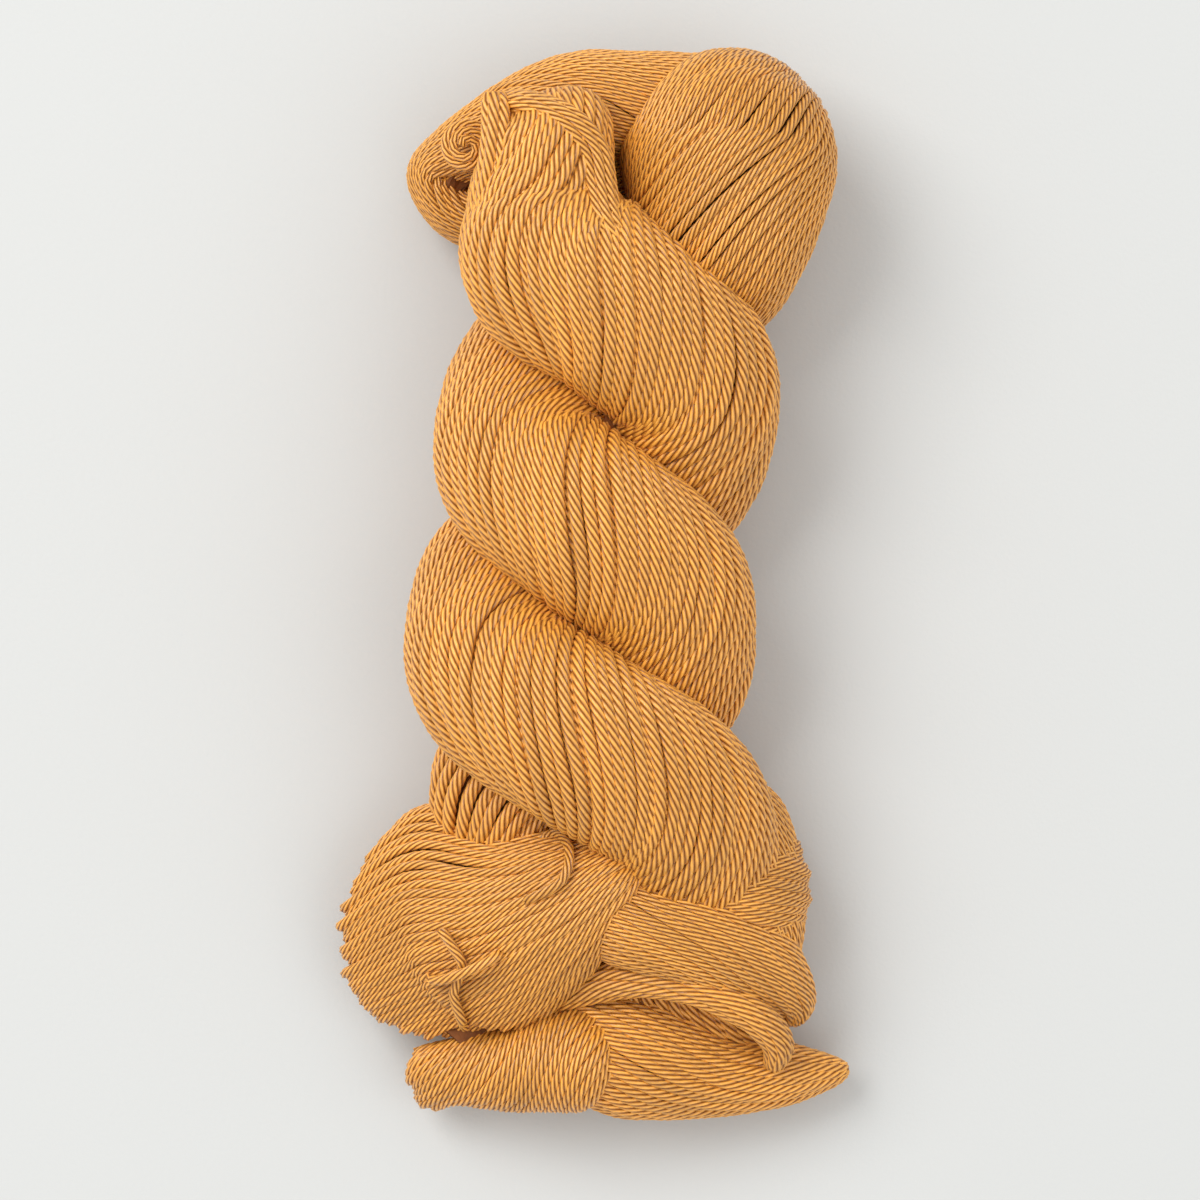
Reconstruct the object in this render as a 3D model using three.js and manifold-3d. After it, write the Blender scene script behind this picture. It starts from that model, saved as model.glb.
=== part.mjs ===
// A twisted hank of cotton yarn that lies on a table. A skein is twisted and folded in half, so that its
// two halves wind round each other as plies, and one end is tucked through the other. Millimetres, +Z up,
// +Y towards the folded end, origin on the table below the middle. The hank is one solid of its wound
// form, made of lobes that are joined. A short tie laces the left fan.
import * as THREE from 'three';
import { mergeVertices } from 'three/addons/utils/BufferGeometryUtils.js';
import Module from 'manifold-3d';

// Driving dimensions
const PRESS = 0.72; // height of a ply against its width, as it is pressed by its own weight
const SWING = 0.4; // how much faster than its mean a ply goes round where the two cross
const SIDES = 22; // sides of a lobe's section
const STEPS_PER_ROW = 3; // sections from one row of a table to the next
const ROUND_STEPS = 3; // sections in each closed end of a lobe
const TABLE_SIZE = 400;
const TABLE_THICKNESS = 40;
const TIE_RADIUS = 1.1;
const TIE_GAP = 1.15; // between the tie and the fan below it
const TIE_SIDES = 8;
const TIE_STEPS = 16;
const ABOVE = 100; // height from which the tie is dropped on to the fan
const MERGE_DISTANCE = 1e-4;
const COTTON_COLOUR = 0xd79344;
const COTTON_ROUGHNESS = 0.6;

// Crossings of the two plies, from the folded end down: a point of the axis they wind round, how far a
// ply's centre runs from that axis, and a ply's half width
const CROSSINGS = table(['x', 'y', 'z', 'reach', 'wide'], [
  [9, 106, 26, 18, 20],
  [5.5, 59.5, 26, 17.5, 20.5],
  [-2.5, 13.5, 26, 18, 20.5],
  [-4, -33.5, 28, 19.5, 20.5],
  [6, -80, 26, 20, 19],
]);
const ROWS_PER_CROSSING = 4;

// A lobe's table has a row for each section: its centre, its half width and half height, and how far its
// two sides lie behind its middle, seen along the lobe
const LOBE = ['x', 'y', 'z', 'wide', 'high', 'bow'];

// The first ply's top, from its tip down
const TIP = table(LOBE, [
  [-14, 108.5, 36, 12, 7, -4],
  [-11.5, 101.5, 36.5, 14.5, 11, -2],
  [-11.5, 94, 36.5, 15, 13, 0],
  [-12.3, 84, 35.5, 18, 15, 0],
  [-9, 71, 37.5, 22, 16, 0],
]);

// The first ply's end, which runs out flat under the strap
const SOLE = table(LOBE, [
  [14, -93, 11, 13, 9.5, 0],
  [27, -100, 9, 10, 8, 0],
  [38, -104, 8, 7, 7, 0],
]);

// The second ply's top, which swells to the right and folds over
const CROWN = table(LOBE, [
  [26, 114, 18, 16, 13, -4],
  [27.5, 105.5, 22, 21.5, 19, -2],
  [28.5, 95, 26, 24.5, 24, 0],
  [26.5, 81, 27, 22, 19, 0],
]);

// The second ply's end, which dives below the fan
const ROOT = table(LOBE, [
  [-20, -54, 20, 15, 12, 0],
  [-14, -68, 16, 12, 10, 0],
  [-4, -78, 14, 9, 8, 0],
]);

// The fold that runs left from the crown, turns round the ear and passes below the tip
const BAND = table(LOBE, [
  [34, 105, 16, 11, 11, 0],
  [22, 106.5, 18, 13, 13, 0],
  [9, 107, 20, 13, 14, 0],
  [-6, 106.5, 20, 13, 14, 0],
  [-20, 102, 18, 11, 13, 0],
  [-32, 96.5, 15, 8, 12, 0],
  [-37.5, 92, 13.5, 6.5, 11.5, 0],
  [-33, 84.5, 13, 6.5, 11, 0],
  [-23, 81, 13, 7.5, 11, 0],
  [-12, 80, 13, 8, 11, 0],
]);

// The curled strands that stand inside the ear
const CURL = table(LOBE, [
  [-27, 97, 6, 8, 8, 0],
  [-27, 97, 16, 8.5, 8.5, 0],
  [-27, 97, 30, 7.5, 7.5, 0],
]);

// The heart of the fold, below the tip
const HEART = table(LOBE, [
  [-33, 91.5, 13, 11, 11.5, 0],
  [-14, 92, 14, 12, 12, 0],
  [12, 92, 16, 14, 13, 0],
]);

// The fan that opens to the left below the twist, where the strands turn back at a wide edge
const FAN = table(LOBE, [
  [10.5, -60, 34, 4, 5, 0],
  [2, -64.5, 33, 9, 9, 2],
  [-9, -70, 29, 15, 13, 5],
  [-21, -75, 22, 21, 15, 9],
  [-36, -78, 14.5, 26.5, 13.5, 16],
  [-53.3, -87.4, 11, 27, 10, 26],
]);

// The fold that crosses to the right below the twist
const FLAP = table(LOBE, [
  [-6, -68, 22, 10, 9, 0],
  [6, -73, 28, 12, 11, 0],
  [21, -77.5, 28, 12, 11, 0],
  [34, -84, 22, 11, 10, 0],
  [41.5, -91.5, 16, 7.5, 8.5, 1],
  [43, -98, 13, 5, 6.5, 1],
]);

// The strap of strands that arches over the hollow
const STRAP = table(LOBE, [
  [-12, -94, 20, 4, 4, 0],
  [0, -88.5, 25, 4.5, 4, 0],
  [12, -87.5, 28, 4.5, 4, 0],
  [24, -90, 29, 4.5, 4, 0],
  [34, -95.5, 27, 4.5, 4, 0],
  [39.5, -102, 23, 4, 4, 0],
  [38.5, -109, 18, 3.5, 4, 0],
]);

// The lower left lobe, whose strands turn back at its left edge
const HEEL = table(LOBE, [
  [4, -106, 18, 9, 9, 0],
  [-5, -105.5, 19, 12.5, 12, 0],
  [-19, -108, 16, 10.5, 11, 0],
  [-33, -109.5, 12, 8, 9, 0],
  [-41.5, -112, 8.5, 8, 8, 1],
]);

// The lower right lobe, which runs out to a point
const TOE = table(LOBE, [
  [-14, -98, 14, 9, 8, 0],
  [-4, -102, 15, 13, 12, 0],
  [9, -106, 14, 14.5, 13, 0],
  [26, -110, 12, 10, 10, 0],
  [42, -110, 10, 7.5, 8, 0],
  [51, -109.5, 9, 4.5, 5.5, 0],
  [57.5, -109, 8, 2, 2.5, 0],
]);

// The bulge that shows behind the twist at its lower right
const BULGE = table(LOBE, [
  [18, -44, 14, 16, 12, 0],
  [23, -56, 17, 20, 15, 0],
  [24.5, -68, 18, 21.5, 16, 0],
  [24.5, -80, 16, 21, 15, 0],
  [22, -92, 12, 17, 12, 0],
]);

// The tie's route over the fan, seen from above
const TIE_ROUTE = table(['x', 'y'], [
  [-34.5, -76],
  [-32, -79.5],
  [-30, -83],
  [-31, -86.5],
  [-32, -90],
  [-31, -94],
  [-30, -97.5],
]);

function table(columns, rows) {
  return rows.map((row) => Object.fromEntries(columns.map((name, i) => [name, row[i]])));
}

// The value at place t of a smooth curve through evenly spaced values
function smooth(values, t) {
  const last = values.length - 1;
  const i = Math.min(Math.floor(t), last - 1);
  const k = t - i;
  const before = i > 0 ? values[i - 1] : 2 * values[0] - values[1];
  const after = i < last - 1 ? values[i + 2] : 2 * values[last] - values[last - 1];
  const slope = values[i + 1] - before;
  const bend = 2 * before - 5 * values[i] + 4 * values[i + 1] - after;
  const swing = 3 * (values[i] - values[i + 1]) + after - before;
  return values[i] + 0.5 * k * (slope + k * (bend + k * swing));
}

function between(rows, t) {
  const columns = Object.keys(rows[0]);
  return Object.fromEntries(columns.map((name) => [name, smooth(rows.map((row) => row[name]), t)]));
}

// A ply's rows on its way round the axis. It is uppermost at the crossing numbered top.
function plyRows(top, from, to) {
  const rows = [];
  for (let i = from * ROWS_PER_CROSSING; i <= to * ROWS_PER_CROSSING; i += 1) {
    const crossing = i / ROWS_PER_CROSSING;
    const at = between(CROSSINGS, crossing);
    const past = crossing - top;
    const angle = Math.PI * (0.5 - past) - (SWING / 2) * Math.sin(2 * Math.PI * past);
    rows.push({
      x: at.x + at.reach * Math.cos(angle),
      y: at.y,
      z: at.z + PRESS * at.reach * Math.sin(angle),
      wide: at.wide,
      high: PRESS * at.wide,
      bow: 0,
    });
  }
  return rows;
}

// The places of a lobe's sections along its table, closer together in its two ends
function sectionPlaces(rowCount) {
  const end = (step) => 1 - Math.cos((Math.PI / 2) * (step / ROUND_STEPS));
  const last = rowCount - 1;
  const places = [];
  for (let i = 0; i < ROUND_STEPS; i += 1) places.push(end(i));
  for (let i = 0; i <= (last - 2) * STEPS_PER_ROW; i += 1) places.push(1 + i / STEPS_PER_ROW);
  for (let i = ROUND_STEPS - 1; i >= 0; i -= 1) places.push(last - end(i));
  return places;
}

// A closed lobe along a table of rows: a sphere whose rings move to the lobe's sections. An end named in
// edges closes in height alone, to a wide edge round which strands turn back. Any other end is rounded.
function lobe(rows, edges = {}) {
  const places = sectionPlaces(rows.length);
  const sections = places.map((t) => between(rows, t));
  const centres = sections.map((at) => new THREE.Vector3(at.x, at.y, at.z));
  const last = places.length - 1;
  const geometry = new THREE.SphereGeometry(1, SIDES, last);
  const along = new THREE.Vector3();
  const across = new THREE.Vector3();
  const up = new THREE.Vector3();
  const point = new THREE.Vector3();
  for (let ring = 0; ring <= last; ring += 1) {
    along.subVectors(centres[Math.min(ring + 1, last)], centres[Math.max(ring - 1, 0)]).normalize();
    if (ring === 0) {
      const upright = Math.abs(along.z) > 0.9;
      up.set(0, upright ? 1 : 0, upright ? 0 : 1);
      across.crossVectors(along, up);
    }
    across.addScaledVector(along, -across.dot(along)).normalize();
    up.crossVectors(across, along);
    const fromEnd = Math.min(places[ring], rows.length - 1 - places[ring], 1);
    const closing = Math.sqrt(fromEnd * (2 - fromEnd));
    const atEdge = places[ring] < 1 ? edges.start : edges.end;
    const { wide, high, bow } = sections[ring];
    const halfWidth = wide * (atEdge ? 1 : closing);
    const halfHeight = high * closing;
    for (let side = 0; side <= SIDES; side += 1) {
      point.set(0, 0, 0);
      if (ring > 0 && ring < last) {
        const angle = (2 * Math.PI * side) / SIDES;
        point.addScaledVector(across, halfWidth * Math.cos(angle));
        point.addScaledVector(up, halfWidth * Math.sin(angle));
        point.z *= halfHeight / halfWidth;
        point.addScaledVector(along, -bow * (1 - Math.abs(Math.sin(angle))));
      }
      point.add(centres[ring]);
      geometry.attributes.position.setXYZ(ring * (SIDES + 1) + side, point.x, point.y, point.z);
    }
  }
  return geometry;
}

const wasm = await Module();
wasm.setup();

function solidOf(geometry) {
  geometry.deleteAttribute('normal');
  geometry.deleteAttribute('uv');
  const merged = mergeVertices(geometry, MERGE_DISTANCE);
  return new wasm.Manifold(new wasm.Mesh({
    numProp: 3,
    vertProperties: new Float32Array(merged.attributes.position.array),
    triVerts: new Uint32Array(merged.index.array),
  }));
}

function meshOf(geometry, name) {
  const cotton = new THREE.MeshStandardMaterial({
    color: COTTON_COLOUR,
    roughness: COTTON_ROUGHNESS,
    metalness: 0,
  });
  const mesh = new THREE.Mesh(geometry, cotton);
  mesh.name = name;
  return mesh;
}

// The hank: its lobes joined, and flat where the table presses it
function hankMesh() {
  const firstPly = [...TIP, ...plyRows(1, 1, 4), ...SOLE];
  const secondPly = [...CROWN, ...plyRows(2, 0.75, 3.25), ...ROOT];
  const lobes = [
    lobe(firstPly, { start: true }),
    lobe(secondPly, { start: true }),
    lobe(BAND),
    lobe(CURL),
    lobe(HEART),
    lobe(FAN, { end: true }),
    lobe(FLAP, { end: true }),
    lobe(STRAP),
    lobe(HEEL, { end: true }),
    lobe(TOE),
    lobe(BULGE),
  ];
  const below = new THREE.BoxGeometry(TABLE_SIZE, TABLE_SIZE, TABLE_THICKNESS);
  below.translate(0, 0, -TABLE_THICKNESS / 2);
  const joined = lobes.map(solidOf).reduce((all, next) => all.add(next)).subtract(solidOf(below));
  const { vertProperties, triVerts } = joined.getMesh();
  const geometry = new THREE.BufferGeometry();
  geometry.setAttribute('position', new THREE.BufferAttribute(vertProperties, 3));
  geometry.setIndex(new THREE.BufferAttribute(triVerts, 1));
  geometry.computeVertexNormals();
  return meshOf(geometry, 'hank');
}

// The tie: a round yarn dropped from above on to the hank, a small gap off its surface
function tieMesh(hank) {
  const seen = new THREE.CatmullRomCurve3(TIE_ROUTE.map((at) => new THREE.Vector3(at.x, at.y, ABOVE)));
  const ray = new THREE.Raycaster();
  const down = new THREE.Vector3(0, 0, -1);
  const laid = seen.getPoints(TIE_STEPS).map((from) => {
    ray.set(from, down);
    const { point, face } = ray.intersectObject(hank)[0];
    return point.addScaledVector(face.normal, TIE_RADIUS + TIE_GAP);
  });
  const round = new THREE.Shape(new THREE.Path().absarc(0, 0, TIE_RADIUS, 0, 2 * Math.PI).getPoints(TIE_SIDES / 2));
  const geometry = new THREE.ExtrudeGeometry(round, {
    steps: TIE_STEPS,
    bevelEnabled: false,
    extrudePath: new THREE.CatmullRomCurve3(laid),
  });
  return meshOf(geometry, 'tie');
}

const hank = hankMesh();
const group = new THREE.Group();
group.add(hank, tieMesh(hank));
export default group;
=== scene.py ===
"""A twisted hank of mercerised cotton yarn, dressed strand by strand.

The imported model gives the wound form. Every strand lies along the form's lobes, just inside their
surface, and is a plied yarn with its own twist. Lengths are in metres, and the tables are in millimetres.
"""

import math

import bmesh
import bpy
import numpy as np
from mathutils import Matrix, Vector
from mathutils.bvhtree import BVHTree


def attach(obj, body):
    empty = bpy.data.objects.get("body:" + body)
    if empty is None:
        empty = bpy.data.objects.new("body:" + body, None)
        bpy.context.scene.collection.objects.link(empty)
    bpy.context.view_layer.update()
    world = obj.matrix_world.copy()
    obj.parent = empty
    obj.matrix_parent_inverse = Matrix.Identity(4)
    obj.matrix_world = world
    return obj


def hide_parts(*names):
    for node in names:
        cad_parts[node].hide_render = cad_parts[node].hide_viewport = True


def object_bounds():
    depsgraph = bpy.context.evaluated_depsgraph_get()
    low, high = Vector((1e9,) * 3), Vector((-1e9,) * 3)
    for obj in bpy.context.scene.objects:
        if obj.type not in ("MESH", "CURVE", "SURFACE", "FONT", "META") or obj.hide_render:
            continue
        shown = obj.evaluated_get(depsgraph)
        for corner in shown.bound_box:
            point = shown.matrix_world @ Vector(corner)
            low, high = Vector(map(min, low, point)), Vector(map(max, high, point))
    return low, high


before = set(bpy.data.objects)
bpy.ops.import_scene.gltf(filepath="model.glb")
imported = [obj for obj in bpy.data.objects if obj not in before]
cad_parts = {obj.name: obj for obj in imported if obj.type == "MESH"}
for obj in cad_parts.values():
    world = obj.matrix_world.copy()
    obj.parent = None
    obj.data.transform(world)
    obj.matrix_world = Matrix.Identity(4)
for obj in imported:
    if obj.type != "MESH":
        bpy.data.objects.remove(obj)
CAD_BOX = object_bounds()
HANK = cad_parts["hank"]

bl_info = {
    "name": "Hank of cotton yarn",
    "version": (1, 0, 0),
    "blender": (4, 5, 0),
    "location": "3D View > Sidebar > Yarn",
    "description": "Lays plied cotton strands over the wound form of a hank",
    "category": "Add Mesh",
}

MM = 0.001
TURN = 2 * math.pi

# The wound form, as it is built: the crossings of its two plies, and each lobe's sections
PRESS = 0.72  # height of a ply against its width
SWING = 0.4  # how much faster than its mean a ply goes round where the two cross
PLY_TURN = 55  # degrees that a ply's strands turn from it, on the mean
PLY_TURN_SWING = 8  # degrees by which they turn more where the two cross
PLY_SWELL = 1.36  # how much thicker a strand is in a ply, where it has room, than in the fan
ROWS_PER_CROSSING = 4
CROSSINGS = [  # x, y, z, reach from the axis, half width
    [9, 106, 26, 18, 20],
    [5.5, 59.5, 26, 17.5, 20.5],
    [-2.5, 13.5, 26, 18, 20.5],
    [-4, -33.5, 28, 19.5, 20.5],
    [6, -80, 26, 20, 19],
]

# A lobe's rows: x, y, z, half width, half height, bow, and the degrees that its strands turn from it
TIP = [
    [-14, 108.5, 36, 12, 7, -4, 34],
    [-11.5, 101.5, 36.5, 14.5, 11, -2, 34],
    [-11.5, 94, 36.5, 15, 13, 0, 32],
    [-12.3, 84, 35.5, 18, 15, 0, 31],
    [-9, 71, 37.5, 22, 16, 0, 44],
]
SOLE = [
    [14, -93, 11, 13, 9.5, 0, 40],
    [27, -100, 9, 10, 8, 0, 30],
    [38, -104, 8, 7, 7, 0, 20],
]
CROWN = [
    [26, 114, 18, 16, 13, -4, 58],
    [27.5, 105.5, 22, 21.5, 19, -2, 56],
    [28.5, 95, 26, 24.5, 24, 0, 54],
    [26.5, 81, 27, 22, 19, 0, 52],
]
ROOT = [
    [-20, -54, 20, 15, 12, 0, 48],
    [-14, -68, 16, 12, 10, 0, 45],
    [-4, -78, 14, 9, 8, 0, 40],
]
BAND = [
    [34, 105, 16, 11, 11, 0, 34],
    [22, 106.5, 18, 13, 13, 0, 34],
    [9, 107, 20, 13, 14, 0, 34],
    [-6, 106.5, 20, 13, 14, 0, 34],
    [-20, 102, 18, 11, 13, 0, 30],
    [-32, 96.5, 15, 8, 12, 0, 20],
    [-37.5, 92, 13.5, 6.5, 11.5, 0, 15],
    [-33, 84.5, 13, 6.5, 11, 0, 20],
    [-23, 81, 13, 7.5, 11, 0, 25],
    [-12, 80, 13, 8, 11, 0, 25],
]
CURL = [
    [-26.5, 98, 6, 6.5, 6.5, 0, 80],
    [-26.5, 98, 16, 7, 7, 0, 80],
    [-26.5, 98, 28, 6.5, 6.5, 0, 80],
]
HEART = [
    [-33, 91.5, 13, 11, 11.5, 0, 0],
    [-14, 92, 14, 12, 12, 0, 0],
    [12, 92, 16, 14, 13, 0, 0],
]
FAN = [
    [10.5, -60, 34, 4, 5, 0, 0],
    [2, -64.5, 33, 9, 9, 2, 0],
    [-9, -70, 29, 15, 13, 5, 0],
    [-21, -75, 22, 21, 15, 9, 0],
    [-36, -78, 14.5, 26.5, 13.5, 16, 0],
    [-53.3, -87.4, 11, 27, 10, 26, 0],
]
FLAP = [
    [-6, -68, 22, 10, 9, 0, 20],
    [6, -73, 28, 12, 11, 0, 20],
    [21, -77.5, 28, 12, 11, 0, 20],
    [34, -84, 22, 11, 10, 0, 14],
    [41.5, -91.5, 16, 7.5, 8.5, 1, 5],
    [43, -98, 13, 5, 6.5, 1, 0],
]
STRAP = [
    [-12, -94, 20, 4, 4, 0, 8],
    [0, -88.5, 25, 4.5, 4, 0, 8],
    [12, -87.5, 28, 4.5, 4, 0, 8],
    [24, -90, 29, 4.5, 4, 0, 8],
    [34, -95.5, 27, 4.5, 4, 0, 8],
    [39.5, -102, 23, 4, 4, 0, 8],
    [38.5, -109, 18, 3.5, 4, 0, 8],
]
HEEL = [
    [4, -106, 18, 9, 9, 0, 62],
    [-5, -105.5, 19, 12.5, 12, 0, 60],
    [-19, -108, 16, 10.5, 11, 0, 46],
    [-33, -109.5, 12, 8, 9, 0, 26],
    [-41.5, -112, 8.5, 8, 8, 1, 10],
]
TOE = [
    [-14, -98, 14, 9, 8, 0, 16],
    [-4, -102, 15, 13, 12, 0, 16],
    [9, -106, 14, 14.5, 13, 0, 16],
    [26, -110, 12, 10, 10, 0, 12],
    [42, -110, 10, 7.5, 8, 0, 6],
    [51, -109.5, 9, 4.5, 5.5, 0, 2],
    [57.5, -109, 8, 2, 2.5, 0, 0],
]
BULGE = [
    [18, -44, 14, 16, 12, 0, 0],
    [23, -56, 17, 20, 15, 0, 0],
    [24.5, -68, 18, 21.5, 16, 0, 0],
    [24.5, -80, 16, 21, 15, 0, 0],
    [22, -92, 12, 17, 12, 0, 0],
]

# The strands that turn back at the bulge's right edge, over its main form
BULGE_EDGE = [
    [10, -65, 24, 5, 10, 0, 0],
    [20, -66.5, 23, 10, 13, 0, 0],
    [30, -68.5, 20, 15, 15, 2, 0],
    [42.5, -71, 16, 18, 13, 9, 0],
]

# The bundle of strands that runs up the first ply's left side to its tip
BUNDLE = [
    [-23, 110, 40.5, 2.5, 2.5, 0, 0],
    [-23, 105.5, 41, 3.8, 3.5, 0, 4],
    [-22.8, 99.5, 42, 4, 3.8, 0, 4],
    [-23.2, 92, 42, 4.2, 3.8, 0, 2],
    [-25, 84, 40, 4.2, 3.8, 0, 0],
    [-26.5, 75, 36, 4, 3.8, 0, 0],
    [-25, 66, 30, 4, 4, 0, 0],
]

# The bundle of strands that arches over the first ply's tip, round its dimple
ARCH = [
    [-23, 107, 39, 3, 3, 0, 0],
    [-15, 105.5, 42, 3.5, 3.5, 0, 4],
    [-7, 101.5, 44, 4, 4, 0, 4],
    [-2, 95, 43.5, 4.5, 4, 0, 2],
    [-0.5, 87, 44.5, 4.5, 4, 0, 0],
    [1.5, 78, 47, 4, 4, 0, 0],
    [6, 70, 46.5, 3.5, 3.5, 0, 0],
]

# The strand coiled up in the ear: its middle, outer and inner radius, and how far its rim lies lower
COIL = {"x": -29.5, "y": 97, "z": 35, "outer": 5.6, "inner": 1.2, "fall": 2, "turns": 2.6}

# Single strands that stray over the fan, seen from above
FAN_LOOP = [
    [-13, -55.5],
    [-10.5, -55],
    [-7.5, -57],
    [-6.6, -60.5],
    [-8, -64.5],
    [-11.4, -66.8],
    [-17, -69.2],
]
FAN_CROSSING = [
    [-38, -87],
    [-34.5, -86],
    [-30.5, -84.5],
    [-26.5, -82.8],
    [-22, -81],
]

# The tie's route over the fan, seen from above
TIE_ROUTE = [
    [-34.5, -76],
    [-32, -79.5],
    [-30, -83],
    [-31, -86.5],
    [-32, -90],
    [-31, -94],
    [-30, -97.5],
]

# How finely a lobe is sampled before its strands are spaced out along their own length
ROW_STEPS = 24
END_STEPS = 24
ANGLES = np.linspace(0, TURN, 181)
LEAST_GIRTH = 12 * MM
SINK_SPAN = 5  # strands over which a crowded one sinks
SETTLE_LENGTH = 14 * MM  # over which neighbours close up above a sunk strand
HIDDEN_DEPTH = 4.2 * MM  # a strand deeper than this in the hank never shows
SHORTEST_RUN = 5  # rings
SINK = 1.5  # radii by which a crowded strand sinks
CLOSING_UP = 0.9  # share of a sunk strand's room that its neighbours take
UNEVEN = 0.08  # share by which a strand's room varies
WIDE_SHARE = 0.25  # of the strands have more room than that
WIDE_GAP = 0.12  # by this share
WANDER_LENGTH = 55 * MM
DIP = 0.3 * MM  # how far a strand dips below the form
DIP_LENGTH = 70 * MM
CORE_DEPTH = 3.6 * MM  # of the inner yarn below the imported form
CORE_FLOOR = 0.6 * MM  # least height of the inner yarn
FIBRE_STRETCH = 0.15  # scale of the fibres' noise along the strand against across it


def linear(hex_colour):
    """An sRGB hex colour as linear red, green, blue and alpha."""
    parts = [int(hex_colour[i : i + 2], 16) / 255 for i in (1, 3, 5)]
    return [c / 12.92 if c <= 0.04045 else ((c + 0.055) / 1.055) ** 2.4 for c in parts] + [1]


class YarnSizes(bpy.types.PropertyGroup):
    """Sizes of the yarn and of its lay in the hank."""

    pitch: bpy.props.FloatProperty(
        name="Strand pitch",
        description="Distance between strands that lie side by side",
        default=1.92 * MM,
        unit="LENGTH",
    )
    radius: bpy.props.FloatProperty(
        name="Strand radius",
        description="From a strand's middle to the top of its plies",
        default=1.17 * MM,
        unit="LENGTH",
    )
    groove: bpy.props.FloatProperty(
        name="Ply groove",
        description="How deep the groove between two plies of a strand is",
        default=0.25 * MM,
        unit="LENGTH",
    )
    plies: bpy.props.IntProperty(
        name="Plies",
        description="Plies twisted together in a strand",
        default=6,
        min=2,
    )
    ply_pitch: bpy.props.FloatProperty(
        name="Ply pitch",
        description="Length of a strand in which its plies turn once",
        default=14 * MM,
        unit="LENGTH",
    )
    ring_step: bpy.props.FloatProperty(
        name="Ring step",
        description="Distance between the rings of a strand's mesh",
        default=1.66 * MM,
        unit="LENGTH",
    )
    wander: bpy.props.FloatProperty(
        name="Wander",
        description="How far a strand strays to the side of its even lay",
        default=0.22 * MM,
        unit="LENGTH",
    )


class YarnColours(bpy.types.PropertyGroup):
    """Colours of the dyed cotton, with a painted highlight for the ply tops and painted shade for the ply
    grooves and the inner yarn.
    """

    # Painted highlight: the pale colour of the thin marks along the ply tops, where light catches them
    ply_top_highlight: bpy.props.FloatVectorProperty(
        name="Ply tops",
        description="Colour of the cotton on top of a ply",
        default=linear("#FCB448"),
        size=4,
        subtype="COLOR",
    )
    # The cotton's colour with painted shade: darker over the plies away from their tops and in the grooves
    # between them
    cotton_with_groove_shade: bpy.props.FloatVectorProperty(
        name="Ply grooves",
        description="Colour of the cotton in the grooves between plies",
        default=linear("#A65E0E"),
        size=4,
        subtype="COLOR",
    )
    # Painted shade: the inner yarn is the same cotton, coloured dark brown because it only shows in the
    # shade of the gaps
    inner: bpy.props.FloatVectorProperty(
        name="Inner yarn",
        description="Colour of the yarn that shows in the gaps between strands",
        default=linear("#8A4E16"),
        size=4,
        subtype="COLOR",
    )


class StageSettings(bpy.types.PropertyGroup):
    """The floor, the lights and the view."""

    floor: bpy.props.FloatVectorProperty(
        name="Floor",
        description="Colour of the plain floor",
        default=linear("#CDCECC"),
        size=4,
        subtype="COLOR",
    )
    key_power: bpy.props.FloatProperty(
        name="Key light",
        description="Power of the soft light from the upper left",
        default=45,
        unit="POWER",
    )
    sky: bpy.props.FloatProperty(
        name="Sky",
        description="Strength of the even light from all round",
        default=0.82,
        min=0,
    )
    lens: bpy.props.FloatProperty(
        name="Lens",
        description="Focal length of the camera",
        default=150,
        unit="CAMERA",
    )
    frame_width: bpy.props.FloatProperty(
        name="View width",
        description="Width of the view at half the hank's height",
        default=266.4 * MM,
        unit="LENGTH",
    )


def smooth(rows, places):
    """Rows of a smooth curve at the given places, through evenly spaced rows."""
    values = np.asarray(rows, dtype=float)
    values = np.vstack([2 * values[0] - values[1], values, 2 * values[-1] - values[-2]])
    index = np.clip(np.floor(places).astype(int), 0, len(rows) - 2)
    k = (places - index)[:, None]
    before, here, there, after = (values[index + n] for n in range(4))
    slope = there - before
    bend = 2 * before - 5 * here + 4 * there - after
    swing = 3 * (here - there) + after - before
    return here + 0.5 * k * (slope + k * (bend + k * swing))


def ply_rows(top, first, last):
    """A ply's rows on its way round the axis. It is uppermost at the crossing numbered top."""
    crossings = np.arange(first * ROWS_PER_CROSSING, last * ROWS_PER_CROSSING + 1) / ROWS_PER_CROSSING
    x, y, z, reach, wide = smooth(CROSSINGS, crossings).T
    past = crossings - top
    angle = math.pi * (0.5 - past) - SWING / 2 * np.sin(TURN * past)
    turn = PLY_TURN + PLY_TURN_SWING * np.cos(TURN * past)
    height = z + PRESS * reach * np.sin(angle)
    rows = [x + reach * np.cos(angle), y, height, wide, PRESS * wide, 0 * x, turn]
    return np.transpose(rows).tolist()


def unit(vectors):
    """The vectors, each one metre long."""
    length = np.linalg.norm(vectors, axis=-1, keepdims=True)
    return vectors / np.maximum(length, 1e-12)


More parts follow.
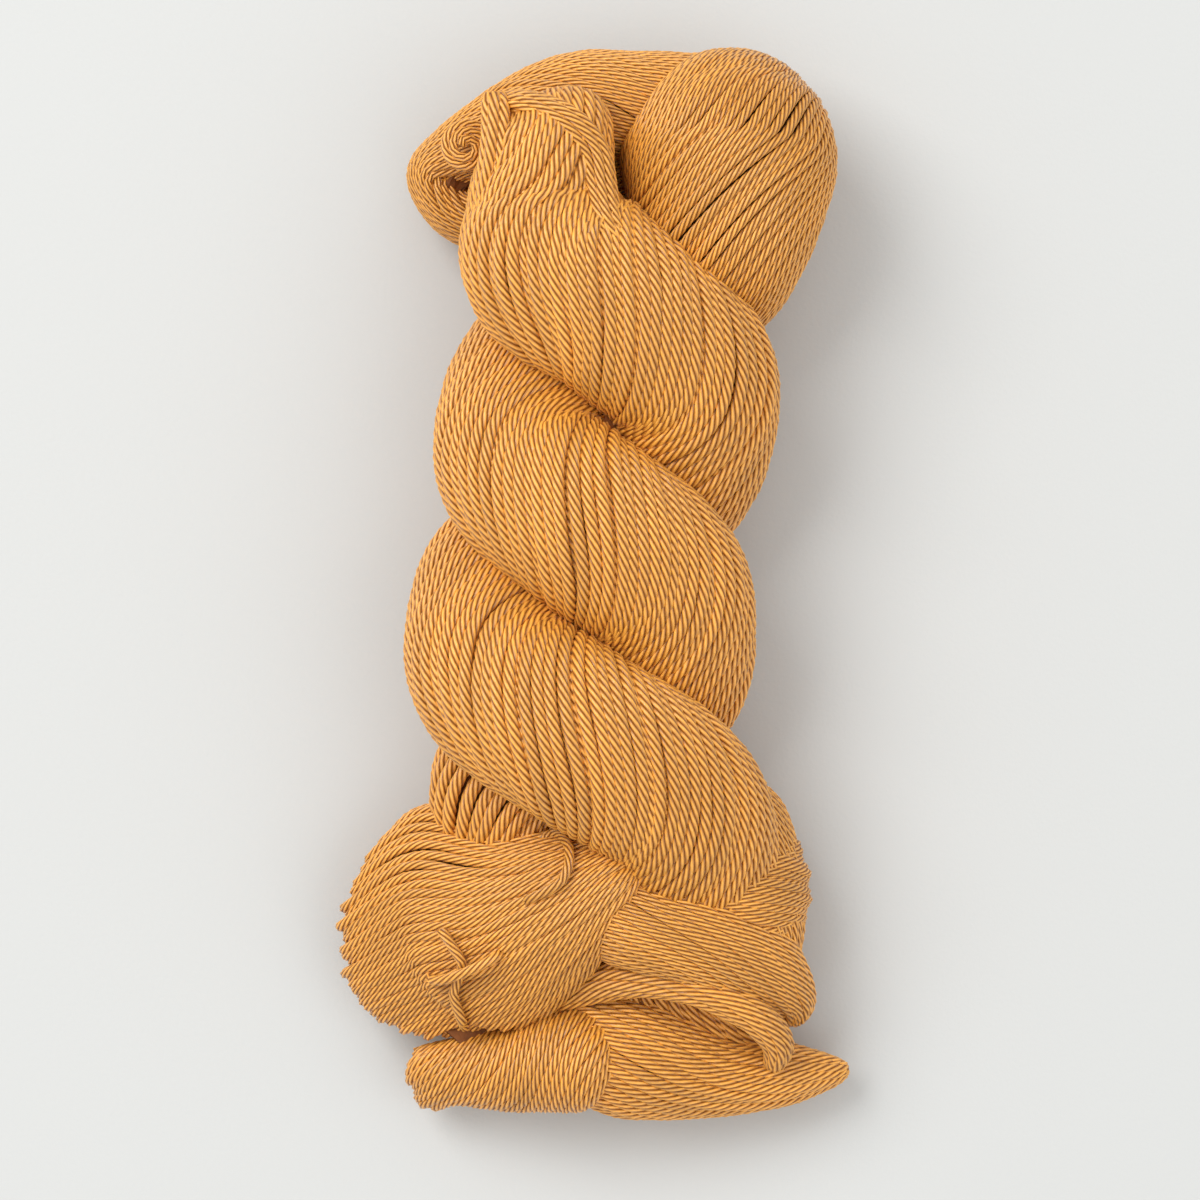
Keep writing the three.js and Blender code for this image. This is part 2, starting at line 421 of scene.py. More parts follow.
class Lobe:
    """A lobe of the wound form, drawn in by a strand's radius so that the strands lie just inside it."""

    def __init__(self, rows, radius, start_edge=False, end_edge=False):
        last = len(rows) - 1
        end = 1 - np.cos(np.linspace(0, math.pi / 2, END_STEPS + 1))
        middle = np.linspace(1, last - 1, (last - 2) * ROW_STEPS + 1)
        places = np.concatenate([end[:-1], middle, last - end[-2::-1]])
        at = smooth(rows, places)
        self.turn = np.radians(at[:, 6])
        at = at[:, :6] * MM
        self.start_edge = start_edge
        self.end_edge = end_edge
        self.from_end = np.minimum(np.minimum(places, last - places), 1)
        closing = np.sqrt(self.from_end * (2 - self.from_end))
        at_edge = ((places < 1) & start_edge) | ((places > last - 1) & end_edge)
        self.along = unit(np.gradient(at[:, :3], axis=0))
        inwards = np.where(places < last / 2, 1, -1) * radius * (1 - self.from_end) ** 2
        self.centre = at[:, :3] + inwards[:, None] * self.along
        self.half_width = (at[:, 3] - radius) * np.where(at_edge, 1, closing)
        self.flatness = (at[:, 4] - radius) / (at[:, 3] - radius) * np.where(at_edge, closing, 1)
        self.open_flatness = (at[:, 4] - radius) / (at[:, 3] - radius)
        self.bow = at[:, 5]
        self.across = self.carried_across()
        self.up = np.cross(self.across, self.along)
        half_height = self.half_width * self.flatness
        step = np.linalg.norm(np.diff(self.centre, axis=0), axis=1)
        self.run = np.concatenate([[0], np.cumsum(np.hypot(step, np.diff(half_height)))])
        lengths = self.lengths_round(self.flatness)
        self.share = lengths / np.maximum(lengths[:, -1:], 1e-9)
        self.girth = self.lengths_round(self.open_flatness)[:, -1]

    def carried_across(self):
        """The sideways direction of each section, carried on from the first without a turn."""
        first = self.along[0]
        upright = (0, 1, 0) if abs(first[2]) > 0.9 else (0, 0, 1)
        across = np.cross(first, upright)
        carried = []
        for along in self.along:
            across = across - along * np.dot(across, along)
            across = across / np.linalg.norm(across)
            carried.append(across)
        return np.array(carried)

    def rim(self, angle, flatness):
        """From a section's centre to its rim before it bows, for angles given as places by strands."""
        cos, sin = np.cos(angle)[..., None], np.sin(angle)[..., None]
        rim = (cos * self.across[:, None] + sin * self.up[:, None]) * self.half_width[:, None, None]
        rim[..., 2] *= flatness[:, None]
        return rim

    def lengths_round(self, flatness):
        """The length round each section, from its first angle on."""
        rim = self.rim(np.broadcast_to(ANGLES, (len(self.half_width), len(ANGLES))), flatness)
        steps = np.linalg.norm(np.diff(rim, axis=1), axis=2)
        return np.concatenate([np.zeros((len(steps), 1)), np.cumsum(steps, axis=1)], axis=1)

    def angles(self, share):
        """Section angles for shares of the girth, given as places by strands."""
        part = share - np.floor(share)
        return np.array([np.interp(row, lengths, ANGLES) for row, lengths in zip(part, self.share)])

    def winding(self, share):
        """Share of the girth by which each strand has moved round, from the lobe's first edge or row."""
        order = np.arange(len(self.run))
        if self.end_edge:
            order = order[::-1]
        moved = np.zeros_like(share)
        for here, there in zip(order, order[1:]):
            step = self.run[there] - self.run[here]
            moved[there] = moved[here] + step * np.tan(self.turn[here]) / max(self.girth[here], LEAST_GIRTH)
        return moved

    def points(self, share, sink):
        """Strand centres at shares of the girth, sunk towards the section's centre."""
        angle = self.angles(share)
        rim = self.rim(angle, self.flatness)
        length = np.linalg.norm(rim, axis=2)
        left = np.maximum(1 - sink / np.maximum(length, 1e-6), 0.05)
        behind = self.bow[:, None] * (1 - np.abs(np.sin(angle)))
        points = self.centre[:, None] + rim * left[..., None] - self.along[:, None] * behind[..., None]
        return points, unit(rim)


def coil_path():
    """The path of the strand coiled up in the ear, from its rim inwards."""
    inwards = np.linspace(0, 1, 240)
    angle = TURN * COIL["turns"] * inwards
    radius = COIL["outer"] + (COIL["inner"] - COIL["outer"]) * inwards
    height = COIL["z"] - COIL["fall"] * (radius / COIL["outer"]) ** 2
    x, y = COIL["x"] + radius * np.cos(angle), COIL["y"] + radius * np.sin(angle)
    return np.column_stack([x, y, height]) * MM


def spread_order(count):
    """Ranks of strands such that the first ranks are always spread evenly among all."""
    bits = max(1, math.ceil(math.log2(count)))
    reversed_bits = [int(format(k, f"0{bits}b")[::-1], 2) for k in range(count)]
    return np.argsort(np.argsort(reversed_bits)).astype(float)


def waves(rng, count, run, reach, length):
    """Smooth noise along each strand: places by strands, within about reach."""
    total = np.zeros((len(run), count))
    for shorter in (1, 0.55, 0.3):
        phase = rng.uniform(0, TURN, count)
        stretch = rng.uniform(0.8, 1.25, count)
        total += shorter * np.sin(run[:, None] * stretch * TURN / (length * shorter) + phase)
    return total * reach / 1.5


def settled(weight, run):
    """The weights made smooth along the run, so that neighbours close up gradually."""
    nearness = np.exp(-0.5 * ((run[:, None] - run[None, :]) / SETTLE_LENGTH) ** 2)
    nearness *= np.gradient(run)[None, :]
    return nearness @ weight / nearness.sum(axis=1, keepdims=True)


def lay_strands(lobe, sizes, seed, swell=1.0, twist=-1, close=1.0, jag=0.0):
    """Paths of a lobe's strands, each as points with their outward directions.

    The strands turn from the lobe's axis by its rows' turn. There are as many as cover the lobe where it
    has most room, and elsewhere some sink below. Below 1, close lays them nearer to each other.
    """
    rng = np.random.default_rng(seed)
    mirrored = lobe.start_edge or lobe.end_edge
    room = lobe.girth * np.cos(lobe.turn) / (sizes.pitch * swell * close)
    fresh = math.ceil(room.max() / 2) if mirrored else math.ceil(room.max())
    count = 2 * fresh if mirrored else fresh

    def for_all(values):
        return np.concatenate([values, values[..., ::-1]], axis=-1) if mirrored else values

    rank = for_all(spread_order(fresh) * (2 if mirrored else 1))
    crowded = np.clip((rank - room[:, None] + 1) / SINK_SPAN, 0, 1)
    crowded = crowded * crowded * (3 - 2 * crowded)
    crowded = settled(crowded, lobe.run)
    wide = rng.random(fresh) < WIDE_SHARE
    spacing = for_all(1 + np.where(wide, WIDE_GAP, rng.uniform(-UNEVEN, UNEVEN, fresh)))
    weight = spacing * (1 - CLOSING_UP * crowded)
    share = (np.cumsum(weight, axis=1) - weight / 2) / weight.sum(axis=1, keepdims=True)
    wander = for_all(waves(rng, fresh, lobe.run, sizes.wander, WANDER_LENGTH))
    if mirrored:
        wander[:, fresh:] *= -1
    share = share + wander / np.maximum(lobe.girth, LEAST_GIRTH)[:, None]
    share = share + twist * lobe.winding(share)
    height = for_all(np.abs(waves(rng, fresh, lobe.run, DIP, DIP_LENGTH)))
    sink = crowded**2 * SINK * sizes.radius * swell + height
    points, outward = lobe.points(share, sink)
    if jag:
        reach = for_all(rng.uniform(-1, 0.3, fresh)) * jag
        points += (1 - lobe.from_end[:, None, None]) ** 2 * lobe.along[:, None] * reach[:, None]
    paths = [(points[:, k], outward[:, k]) for k in range(count)]
    if not mirrored:
        return paths
    joined = []
    for k in range(fresh):
        (top, out_top), (below, out_below) = paths[k], paths[count - 1 - k]
        if lobe.end_edge:
            joined.append((np.vstack([top, below[-2::-1]]), np.vstack([out_top, out_below[-2::-1]])))
        else:
            joined.append((np.vstack([top[::-1], below[1:]]), np.vstack([out_top[::-1], out_below[1:]])))
    return joined


class Hide:
    """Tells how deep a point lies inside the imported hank."""

    def __init__(self, node):
        mesh = node.data
        corners = [v.co.copy() for v in mesh.vertices]
        faces = [tuple(p.vertices) for p in mesh.polygons]
        self.tree = BVHTree.FromPolygons(corners, faces)

    def depth(self, point):
        near, normal, _, distance = self.tree.find_nearest(Vector(point))
        return distance if (Vector(point) - near).dot(normal) < 0 else -distance

    def drop(self, x, y, lift):
        """The point straight below x, y on the hank, lifted off its surface."""
        point, normal, _, _ = self.tree.ray_cast(Vector((x, y, 0.1)), Vector((0, 0, -1)))
        return np.array(point + normal * lift)


def visible_runs(paths, radius, sizes, hide, rng):
    """Evenly spaced rings of the stretches of each path that can be seen."""
    runs = []
    for points, outward in paths:
        points = points.copy()
        points[:, 2] = np.maximum(points[:, 2], radius)
        steps = np.linalg.norm(np.diff(points, axis=0), axis=1)
        length = np.concatenate([[0], np.cumsum(steps)])
        if length[-1] < SHORTEST_RUN * sizes.ring_step:
            continue
        rings = int(length[-1] / sizes.ring_step)
        even = np.linspace(0, length[-1], rings + 1)
        centres = np.column_stack([np.interp(even, length, points[:, i]) for i in range(3)])
        outs = np.column_stack([np.interp(even, length, outward[:, i]) for i in range(3)])
        seen = np.array([hide.depth(c) < HIDDEN_DEPTH for c in centres])
        seen[1:-1] |= seen[:-2] | seen[2:]
        shade, phase = rng.uniform(-1, 1), rng.uniform(0, TURN)
        edges = np.flatnonzero(np.diff(np.concatenate([[False], seen, [False]]).astype(int)))
        for first, after in zip(edges[::2], edges[1::2]):
            if after - first >= SHORTEST_RUN:
                part = slice(first, after)
                runs.append((centres[part], outs[part], even[part], radius, shade, phase))
    return runs


def cap_quads(sides):
    """The quads that close a ring, for a ring that turns once round its axis."""
    return [((-i) % sides, i + 1, i + 2, (-i - 1) % sides) for i in range(sides // 2 - 1)]


def yarn_mesh(name, runs, sizes):
    """One mesh of plied strands. Its sides follow the plies, a groove and a top in turn."""
    sides = 2 * sizes.plies
    column = np.arange(sides)
    reach = np.where(column % 2 == 0, 1 - sizes.groove / sizes.radius, 1)
    corners, quads, strand_map, bake_map, shades = [], [], [], [], []
    cells = sum(len(run[0]) - 1 for run in runs)
    cell_shape = sizes.ring_step / (TURN * sizes.radius * 1.15)
    row_cells = math.ceil(math.sqrt(cells / cell_shape))
    map_rows = math.ceil(cells / row_cells) + 1
    start, cell = 0, 0
    caps = np.array(cap_quads(sides))
    for centres, outs, length, radius, shade, phase in runs:
        rings = len(centres)
        along = unit(np.gradient(centres, axis=0))
        out = unit(outs - along * np.sum(outs * along, axis=1, keepdims=True))
        side = np.cross(along, out)
        angle = TURN * column / sides + (phase - TURN * length / sizes.ply_pitch)[:, None]
        ring = out[:, None] * np.cos(angle)[..., None] + side[:, None] * np.sin(angle)[..., None]
        corners.append((centres[:, None] + ring * (radius * reach)[None, :, None]).reshape(-1, 3))
        i, j = np.meshgrid(np.arange(rings - 1), column, indexing="ij")
        i, j = i.ravel(), j.ravel()
        after = (j + 1) % sides
        tube = np.stack([i * sides + j, i * sides + after, (i + 1) * sides + after, (i + 1) * sides + j], 1)
        quads.append(start + np.vstack([tube, caps[:, ::-1], caps + (rings - 1) * sides]))
        along_mm = length / MM
        ends = np.stack([along_mm[i], along_mm[i], along_mm[i + 1], along_mm[i + 1]], 1)
        round_share = np.stack([j, j + 1, j + 1, j], 1) / sides
        cap_ends = np.repeat([along_mm[0], along_mm[-1]], len(caps))[:, None] * np.ones(4)
        cap_round = np.vstack([caps[:, ::-1], caps]) / sides
        strand_map.append(np.stack([np.vstack([ends, cap_ends]), np.vstack([round_share, cap_round])], 2))
        place = cell + i
        u = (place % row_cells)[:, None] + np.array([0, 0, 1, 1])
        v = (place // row_cells)[:, None] + 0.05 + 0.9 * round_share
        tube_uv = np.stack([u / row_cells, v / map_rows], 2)
        disc = np.stack([np.cos(TURN * column / sides), np.sin(TURN * column / sides)], 1) * 0.4 + 0.5
        disc = (disc * [1 / row_cells * 4, 1 / map_rows]) + [0, (map_rows - 1) / map_rows]
        bake_map.append(np.vstack([tube_uv, disc[caps[:, ::-1]], disc[caps]]))
        shades.append(np.full(rings * sides, shade))
        start += rings * sides
        cell += rings - 1
    return mesh_from(name, corners, quads, {"strand": strand_map, "OFBake": bake_map}, shades)


def mesh_from(name, corners, quads, maps, shades):
    """A smooth mesh object from lists of arrays of corners, quads, maps and shades."""
    corners, quads = np.vstack(corners), np.vstack(quads)
    mesh = bpy.data.meshes.new(name)
    mesh.vertices.add(len(corners))
    mesh.vertices.foreach_set("co", corners.ravel())
    mesh.loops.add(quads.size)
    mesh.loops.foreach_set("vertex_index", quads.ravel())
    mesh.polygons.add(len(quads))
    mesh.polygons.foreach_set("loop_start", np.arange(0, quads.size, 4))
    mesh.update(calc_edges=True)
    mesh.polygons.foreach_set("use_smooth", np.ones(len(quads), dtype=bool))
    for map_name, parts in maps.items():
        layer = mesh.uv_layers.new(name=map_name)
        layer.uv.foreach_set("vector", np.concatenate([p.reshape(-1, 2) for p in parts]).ravel())
    shade = mesh.attributes.new("shade", "FLOAT", "POINT")
    shade.data.foreach_set("value", np.concatenate(shades))
    mesh.validate()
    piece = bpy.data.objects.new(name, mesh)
    bpy.context.collection.objects.link(piece)
    return piece


def add_node(tree, kind, inputs=None, **settings):
    """Adds a node, sets its options, and fills its inputs with values or links."""
    node = tree.nodes.new(kind)
    for name, value in settings.items():
        setattr(node, name, value)
    for name, value in (inputs or {}).items():
        if isinstance(value, bpy.types.NodeSocket):
            tree.links.new(value, node.inputs[name])
        else:
            node.inputs[name].default_value = value
    return node


def empty_material(name):
    """A material with no nodes yet."""
    material = bpy.data.materials.new(name)
    material.use_nodes = True
    material.node_tree.nodes.clear()
    return material


def plied_cotton(sizes, colours):
    """Mercerised cotton, plied: round plies with a silky shine, darker where they meet partly by their bump
    and partly by painted shade, with painted highlights along their tops.
    """
    name = "mercerised_cotton_plied"
    if name in bpy.data.materials:
        return bpy.data.materials[name]
    material = empty_material(name)
    tree = material.node_tree
    strand = add_node(tree, "ShaderNodeUVMap", uv_map="strand").outputs[0]
    parts = add_node(tree, "ShaderNodeSeparateXYZ", {0: strand})
    along_mm, round_share = parts.outputs["X"], parts.outputs["Y"]

    # A ply's round top, from 0 in the groove to 1
    plies_round = add_node(
        tree, "ShaderNodeMath", {0: round_share, 1: sizes.plies}, operation="MULTIPLY"
    ).outputs[0]
    in_ply = add_node(tree, "ShaderNodeMath", {0: plies_round}, operation="FRACT").outputs[0]
    side = add_node(
        tree, "ShaderNodeMath", {0: in_ply, 1: 2, 2: -1}, operation="MULTIPLY_ADD"
    ).outputs[0]
    side_squared = add_node(tree, "ShaderNodeMath", {0: side, 1: side}, operation="MULTIPLY").outputs[0]
    top_squared = add_node(
        tree, "ShaderNodeMath", {0: 1.0001, 1: side_squared}, operation="SUBTRACT"
    ).outputs[0]
    ply_top = add_node(tree, "ShaderNodeMath", {0: top_squared}, operation="SQRT").outputs[0]

    # Fibres run along the strand: a noise about 0.2 mm across, drawn out lengthwise. Real ones are finer.
    turns = add_node(
        tree, "ShaderNodeMath", {0: along_mm, 1: sizes.ply_pitch / MM}, operation="DIVIDE"
    ).outputs[0]
    turned = add_node(
        tree, "ShaderNodeMath", {0: round_share, 1: turns}, operation="SUBTRACT"
    ).outputs[0]
    angle = add_node(tree, "ShaderNodeMath", {0: turned, 1: TURN}, operation="MULTIPLY").outputs[0]
    cosine = add_node(tree, "ShaderNodeMath", {0: angle}, operation="COSINE").outputs[0]
    sine = add_node(tree, "ShaderNodeMath", {0: angle}, operation="SINE").outputs[0]
    radius_mm = sizes.radius / MM
    place_x = add_node(
        tree, "ShaderNodeMath", {0: cosine, 1: radius_mm}, operation="MULTIPLY"
    ).outputs[0]
    place_y = add_node(tree, "ShaderNodeMath", {0: sine, 1: radius_mm}, operation="MULTIPLY").outputs[0]
    place_z = add_node(
        tree, "ShaderNodeMath", {0: along_mm, 1: FIBRE_STRETCH}, operation="MULTIPLY"
    ).outputs[0]
    place = add_node(tree, "ShaderNodeCombineXYZ", {0: place_x, 1: place_y, 2: place_z}).outputs[0]
    fibres = add_node(
        tree, "ShaderNodeTexNoise", {"Vector": place, "Scale": 5.0, "Detail": 3.0, "Roughness": 0.6}
    ).outputs["Fac"]
    where = add_node(tree, "ShaderNodeNewGeometry").outputs["Position"]
    dye = add_node(
        tree, "ShaderNodeTexNoise", {"Vector": where, "Scale": 60.0, "Detail": 2.0}
    ).outputs["Fac"]
    shade = add_node(tree, "ShaderNodeAttribute", attribute_name="shade").outputs["Fac"]

    # Painted highlights: thin pale marks along the tops of the plies take the highlight colour, and the
    # rest of each ply the cotton colour with painted shade in its grooves. Single strands differ a little
    # in brightness.
    highlight_mask = add_node(tree, "ShaderNodeMath", {0: ply_top, 1: 5.0}, operation="POWER").outputs[0]
    base = add_node(
        tree, "ShaderNodeMix", {0: highlight_mask, 6: list(colours.cotton_with_groove_shade), 7: list(colours.ply_top_highlight)}, data_type="RGBA"
    ).outputs[2]
    by_strand = add_node(
        tree, "ShaderNodeMath", {0: shade, 1: 0.09, 2: 1.0}, operation="MULTIPLY_ADD"
    ).outputs[0]
    by_fibre = add_node(
        tree, "ShaderNodeMath", {0: fibres, 1: 0.4, 2: -0.2}, operation="MULTIPLY_ADD"
    ).outputs[0]
    by_dye = add_node(
        tree, "ShaderNodeMath", {0: dye, 1: 0.3, 2: -0.15}, operation="MULTIPLY_ADD"
    ).outputs[0]
    bright = add_node(tree, "ShaderNodeMath", {0: by_strand, 1: by_fibre}, operation="ADD").outputs[0]
    bright = add_node(tree, "ShaderNodeMath", {0: bright, 1: by_dye}, operation="ADD").outputs[0]
    colour = add_node(
        tree, "ShaderNodeHueSaturation", {"Hue": 0.5, "Saturation": 1.0, "Value": bright, "Color": base}
    ).outputs[0]
    fibre_height = add_node(
        tree, "ShaderNodeMath", {0: fibres, 1: 0.35}, operation="MULTIPLY"
    ).outputs[0]
    height = add_node(tree, "ShaderNodeMath", {0: ply_top, 1: fibre_height}, operation="ADD").outputs[0]
    bump = add_node(
        tree, "ShaderNodeBump", {"Height": height, "Distance": sizes.groove * 2, "Strength": 0.9}
    ).outputs[0]
    roughness = add_node(
        tree, "ShaderNodeMath", {0: fibres, 1: 0.3, 2: 0.2}, operation="MULTIPLY_ADD"
    ).outputs[0]
    cotton = add_node(
        tree,
        "ShaderNodeBsdfPrincipled",
        {
            "Base Color": colour,
            "Roughness": roughness,
            "Normal": bump,
            "IOR": 1.53,
            "Specular IOR Level": 0.7,
            "Sheen Weight": 0.08,
            "Sheen Roughness": 0.4,
        },
    ).outputs[0]
    add_node(tree, "ShaderNodeOutputMaterial", {"Surface": cotton})
    return material


def inner_cotton_in_painted_shade(colours):
    """Cotton strands inside the hank, seen only through gaps, coloured dark with painted shade."""
    name = "cotton_inner_layers_painted_shade"
    material = empty_material(name)
    tree = material.node_tree
    where = add_node(tree, "ShaderNodeNewGeometry").outputs["Position"]
    layers = add_node(
        tree, "ShaderNodeTexNoise", {"Vector": where, "Scale": 400.0, "Detail": 2.0}
    ).outputs["Fac"]
    # Painted shade: the dark inner colour, darkened further in patches by a noise down to 0.45 of it
    colour = add_node(
        tree,
        "ShaderNodeMix",
        {0: layers, 6: [0.45 * c for c in colours.inner[:3]] + [1], 7: list(colours.inner)},
        data_type="RGBA",
    ).outputs[2]
    bump = add_node(tree, "ShaderNodeBump", {"Height": layers, "Distance": 0.5 * MM}).outputs[0]
    cotton = add_node(
        tree,
        "ShaderNodeBsdfPrincipled",
        {"Base Color": colour, "Roughness": 0.8, "Normal": bump, "IOR": 1.53},
    ).outputs[0]
    add_node(tree, "ShaderNodeOutputMaterial", {"Surface": cotton})
    return material


def matte_paper(colour):
    """Plain matte paper: even and pale, with a faint tooth."""
    material = empty_material("matte_paper")
    tree = material.node_tree
    where = add_node(tree, "ShaderNodeNewGeometry").outputs["Position"]
    tooth = add_node(tree, "ShaderNodeTexNoise", {"Vector": where, "Scale": 900.0}).outputs["Fac"]
    bump = add_node(tree, "ShaderNodeBump", {"Height": tooth, "Distance": 0.05 * MM}).outputs[0]
    paper = add_node(
        tree, "ShaderNodeBsdfPrincipled", {"Base Color": list(colour), "Roughness": 0.9, "Normal": bump}
    ).outputs[0]
    add_node(tree, "ShaderNodeOutputMaterial", {"Surface": paper})
    return material


def hand_over(piece, material, node):
    """Gives a piece its material, hangs it on the root body, and hides the imported part that it stands
    for.
    """
    piece.data.materials.append(material)
    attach(piece, "root")
    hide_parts(node)


def dress(context, name, lobes, seed, single=()):
    """Makes one piece of the visible strands on some lobes, and of single strands.

    Each lobe comes with its edges and with how its strands lie.
    """
    sizes, colours = context.scene.yarn_sizes, context.scene.yarn_colours
    hide = Hide(HANK)
    rng = np.random.default_rng(seed)
    runs = []
    for rows, edges, lay in lobes:
        radius = sizes.radius * lay.get("swell", 1)
        lobe = Lobe(rows, radius, **edges)
        runs += visible_runs(lay_strands(lobe, sizes, **lay), radius, sizes, hide, rng)
    runs += [strand_run(path, sizes, rng) for path in single]
    piece = yarn_mesh(name, runs, sizes)
    hand_over(piece, plied_cotton(sizes, colours), "hank")


def strand_run(path, sizes, rng):
    """The evenly spaced rings of one single strand along a path."""
    steps = np.concatenate([[0], np.cumsum(np.linalg.norm(np.diff(path, axis=0), axis=1))])
    even = np.arange(0, steps[-1], sizes.ring_step)
    centres = np.column_stack([np.interp(even, steps, path[:, i]) for i in range(3)])
    outs = np.tile([0.0, 0.0, 1.0], (len(centres), 1))
    return centres, outs, even, sizes.radius, rng.uniform(-1, 1), rng.uniform(0, TURN)


def laid_path(route, lift, end_lift, hide):
    """A route seen from above, laid on the hank: lifted off it, and less so at its two ends."""
    seen = smooth(np.array(route) * MM, np.linspace(0, len(route) - 1, 60))
    rise = end_lift + (lift - end_lift) * np.sin(np.linspace(0, math.pi, 60)) ** 0.5
    return np.array([hide.drop(x, y, up) for (x, y), up in zip(seen, rise)])


class HANK_OT_core(bpy.types.Operator):
    """Fill the hank below its outer strands"""

    bl_idname = "hank.core"
    bl_label = "Inner yarn"

    def execute(self, context):
        work = bmesh.new()
        work.from_mesh(HANK.data)
        bmesh.ops.remove_doubles(work, verts=work.verts, dist=1e-6)
        work.normal_update()
        moved = [v.co - v.normal * CORE_DEPTH for v in work.verts]
        for vertex, place in zip(work.verts, moved):
            vertex.co = place
            vertex.co.z = max(place.z, CORE_FLOOR)
        mesh = bpy.data.meshes.new("core")
        work.to_mesh(mesh)
        work.free()
        mesh.materials.clear()
        piece = bpy.data.objects.new("core", mesh)
        context.collection.objects.link(piece)
        hand_over(piece, inner_cotton_in_painted_shade(context.scene.yarn_colours), "hank")
        return {"FINISHED"}


class HANK_OT_plies(bpy.types.Operator):
    """Lay the strands of the two plies that wind round each other"""

    bl_idname = "hank.plies"
    bl_label = "Plies"

    def execute(self, context):
        first = TIP + ply_rows(1, 1, 4) + SOLE
        crown = CROWN + ply_rows(2, 0.75, 1.25)
        second = ply_rows(2, 1, 3.25) + ROOT
        edge = {"start_edge": True}
        dress(context, "first_ply_yarn", [(first, edge, {"seed": 11, "swell": PLY_SWELL})], 1)
        lobes = [
            (BUNDLE, {}, {"seed": 13, "swell": PLY_SWELL}),
            (ARCH, {}, {"seed": 15, "swell": 1.1}),
        ]
        dress(context, "first_ply_tip_yarn", lobes, 9)
        lobes = [(second, {}, {"seed": 12, "swell": PLY_SWELL, "close": 0.94})]
        dress(context, "second_ply_yarn", lobes, 2)
        dress(context, "crown_yarn", [(crown, edge, {"seed": 14, "swell": 1.02, "close": 0.9})], 10)
        return {"FINISHED"}


class HANK_OT_folded_end(bpy.types.Operator):
    """Lay the strands of the folded end: the band round the ear, the curl in it and the heart"""

    bl_idname = "hank.folded_end"
    bl_label = "Folded end"

    def execute(self, context):
        lobes = [
            (BAND, {}, {"seed": 21, "swell": 0.92}),
            (CURL, {}, {"seed": 22}),
            (HEART, {}, {"seed": 23}),
        ]
        dress(context, "folded_end_yarn", lobes, 3, [coil_path()])
        return {"FINISHED"}


class HANK_OT_fan(bpy.types.Operator):
    """Lay the strands of the fan that turn back at its left edge"""

    bl_idname = "hank.fan"
    bl_label = "Fan"

    def execute(self, context):
        sizes = context.scene.yarn_sizes
        edge = {"end_edge": True}
        lay = {"seed": 31, "jag": 2.5 * MM, "swell": 1.02}
        hide = Hide(HANK)
        single = [
            laid_path(FAN_LOOP, sizes.radius, -sizes.radius, hide),
            laid_path(FAN_CROSSING, 3.2 * sizes.radius, -sizes.radius, hide),
        ]
        dress(context, "fan_yarn", [(FAN, edge, lay)], 4, single)
        return {"FINISHED"}


class HANK_OT_flap(bpy.types.Operator):
    """Lay the strands of the flap and of the strap that arches below it"""

    bl_idname = "hank.flap"
    bl_label = "Flap and strap"

    def execute(self, context):
        lobes = [
            (FLAP, {"end_edge": True}, {"seed": 41}),
            (STRAP, {}, {"seed": 42, "swell": 1.15}),
        ]
        dress(context, "flap_yarn", lobes, 5)
        return {"FINISHED"}


class HANK_OT_lower_end(bpy.types.Operator):
    """Lay the strands of the heel, the toe and the bulge"""

    bl_idname = "hank.lower_end"
    bl_label = "Heel, toe and bulge"

    def execute(self, context):
        lobes = [
            (HEEL, {"end_edge": True}, {"twist": 1, "seed": 51, "jag": 1.5 * MM, "swell": 1.15}),
            (TOE, {}, {"seed": 52, "swell": 1.2}),
        ]
        dress(context, "lower_end_yarn", lobes, 6)
        lobes = [
            (BULGE, {}, {"seed": 54}),
            (BULGE_EDGE, {"end_edge": True}, {"seed": 53, "jag": 1 * MM}),
        ]
        dress(context, "bulge_yarn", lobes, 7)
        return {"FINISHED"}


class HANK_OT_tie(bpy.types.Operator):
    """Lay the short tie over the fan"""

    bl_idname = "hank.tie"
    bl_label = "Tie"

    def execute(self, context):
        sizes, colours = context.scene.yarn_sizes, context.scene.yarn_colours
        lift = sizes.radius + 0.3 * MM
        path = laid_path(TIE_ROUTE, lift, lift, Hide(HANK))
        piece = yarn_mesh("tie_yarn", [strand_run(path, sizes, np.random.default_rng(8))], sizes)
        hand_over(piece, plied_cotton(sizes, colours), "tie")
        return {"FINISHED"}


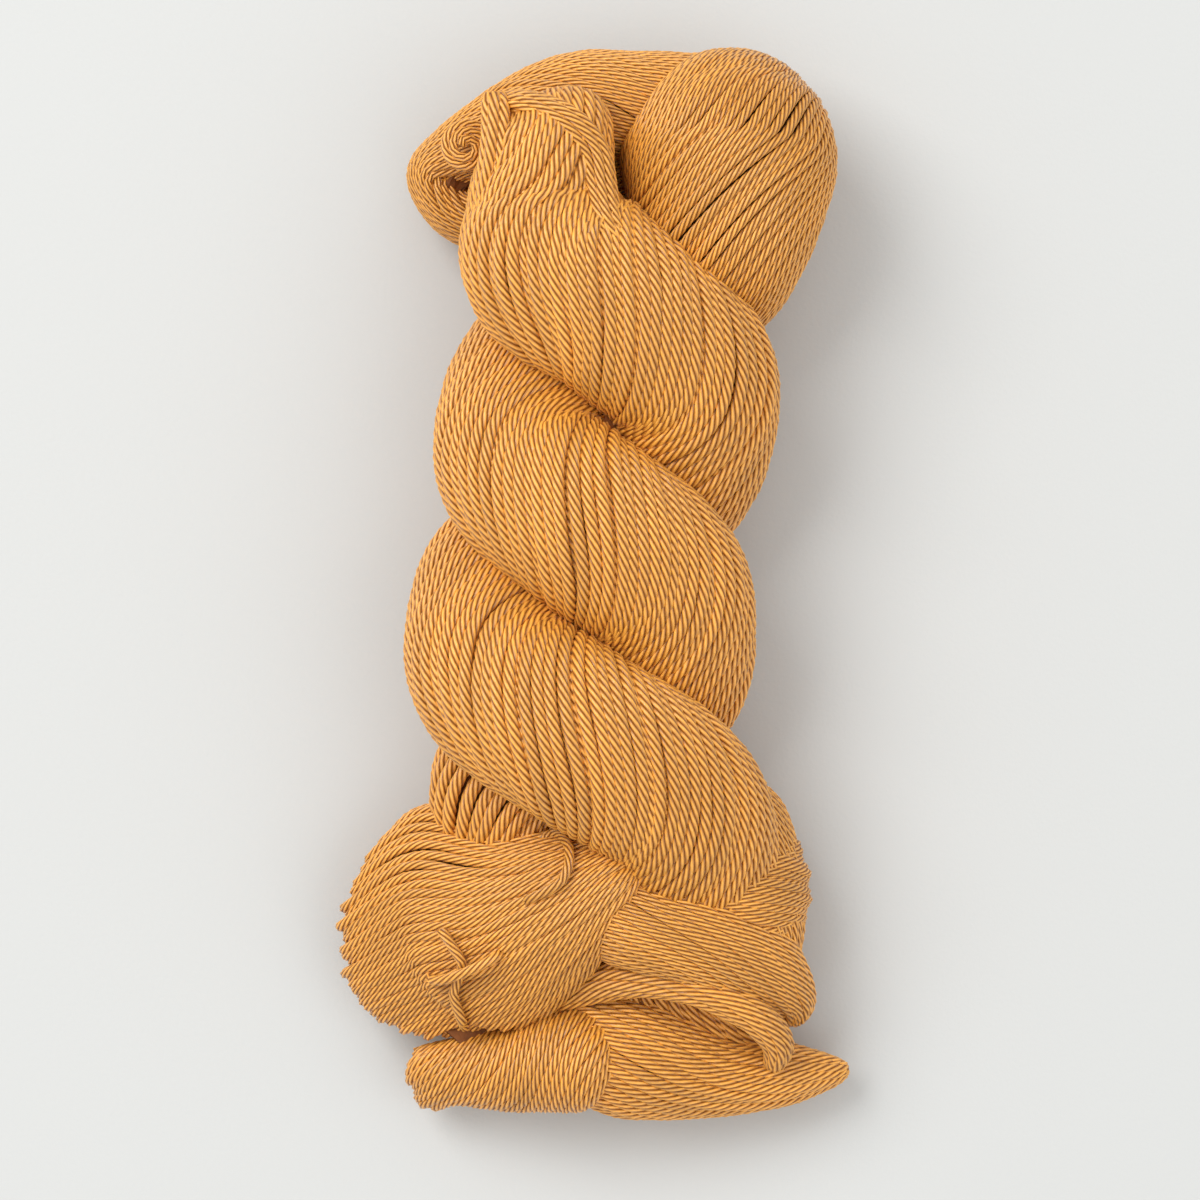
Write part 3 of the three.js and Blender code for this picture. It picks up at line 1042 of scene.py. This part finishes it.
class HANK_OT_stage(bpy.types.Operator):
    """Set the floor, the soft lights and the camera above the hank"""

    bl_idname = "hank.stage"
    bl_label = "Stage"

    def execute(self, context):
        stage = context.scene.yarn_stage
        bpy.ops.mesh.primitive_plane_add(size=6)
        floor = context.object
        floor.name = "floor"
        floor.data.materials.append(matte_paper(stage.floor))
        add_light("key", (-1.35, 1.17, 1.98), 1.6, stage.key_power)
        add_light("fill", (1.6, -0.9, 2.1), 2.2, stage.key_power * 0.25)
        world = bpy.data.worlds.new("studio")
        world.use_nodes = True
        background = world.node_tree.nodes["Background"]
        background.inputs["Color"].default_value = (1, 1, 1, 1)
        background.inputs["Strength"].default_value = stage.sky
        context.scene.world = world
        context.scene.view_settings.view_transform = "Standard"
        lens = bpy.data.cameras.new("camera")
        lens.lens = stage.lens
        lens.clip_end = 20
        camera = bpy.data.objects.new("camera", lens)
        distance = stage.frame_width * stage.lens / lens.sensor_width
        middle_height = (CAD_BOX[0].z + CAD_BOX[1].z) / 2
        camera.location = (-0.1 * MM, -3.1 * MM, middle_height + distance)
        context.collection.objects.link(camera)
        context.scene.camera = camera
        return {"FINISHED"}


def add_light(name, place, size, power):
    """A square soft light that points at the hank."""
    data = bpy.data.lights.new(name, "AREA")
    data.size = size
    data.energy = power
    light = bpy.data.objects.new(name, data)
    light.location = place
    light.rotation_euler = (-Vector(place)).to_track_quat("-Z", "Y").to_euler()
    bpy.context.collection.objects.link(light)


class HANK_PT_panel(bpy.types.Panel):
    """The hank's sizes and colours, and its pieces in the order in which they are made"""

    bl_label = "Hank of cotton yarn"
    bl_idname = "HANK_PT_panel"
    bl_space_type = "VIEW_3D"
    bl_region_type = "UI"
    bl_category = "Yarn"

    def draw(self, context):
        for group in (context.scene.yarn_sizes, context.scene.yarn_colours, context.scene.yarn_stage):
            box = self.layout.box()
            for name in group.__annotations__:
                box.prop(group, name)
        for operator in OPERATORS:
            self.layout.operator(operator.bl_idname)


GROUPS = {"yarn_sizes": YarnSizes, "yarn_colours": YarnColours, "yarn_stage": StageSettings}
OPERATORS = [
    HANK_OT_core,
    HANK_OT_plies,
    HANK_OT_folded_end,
    HANK_OT_fan,
    HANK_OT_flap,
    HANK_OT_lower_end,
    HANK_OT_tie,
    HANK_OT_stage,
]


def register():
    for kind in [*GROUPS.values(), *OPERATORS, HANK_PT_panel]:
        bpy.utils.register_class(kind)
    for name, group in GROUPS.items():
        setattr(bpy.types.Scene, name, bpy.props.PointerProperty(type=group))


def unregister():
    for name in GROUPS:
        delattr(bpy.types.Scene, name)
    for kind in [HANK_PT_panel, *reversed(OPERATORS), *reversed(GROUPS.values())]:
        bpy.utils.unregister_class(kind)


def main():
    register()
    for operator in OPERATORS:
        group, name = operator.bl_idname.split(".")
        getattr(getattr(bpy.ops, group), name)()


if __name__ == "__main__":
    main()
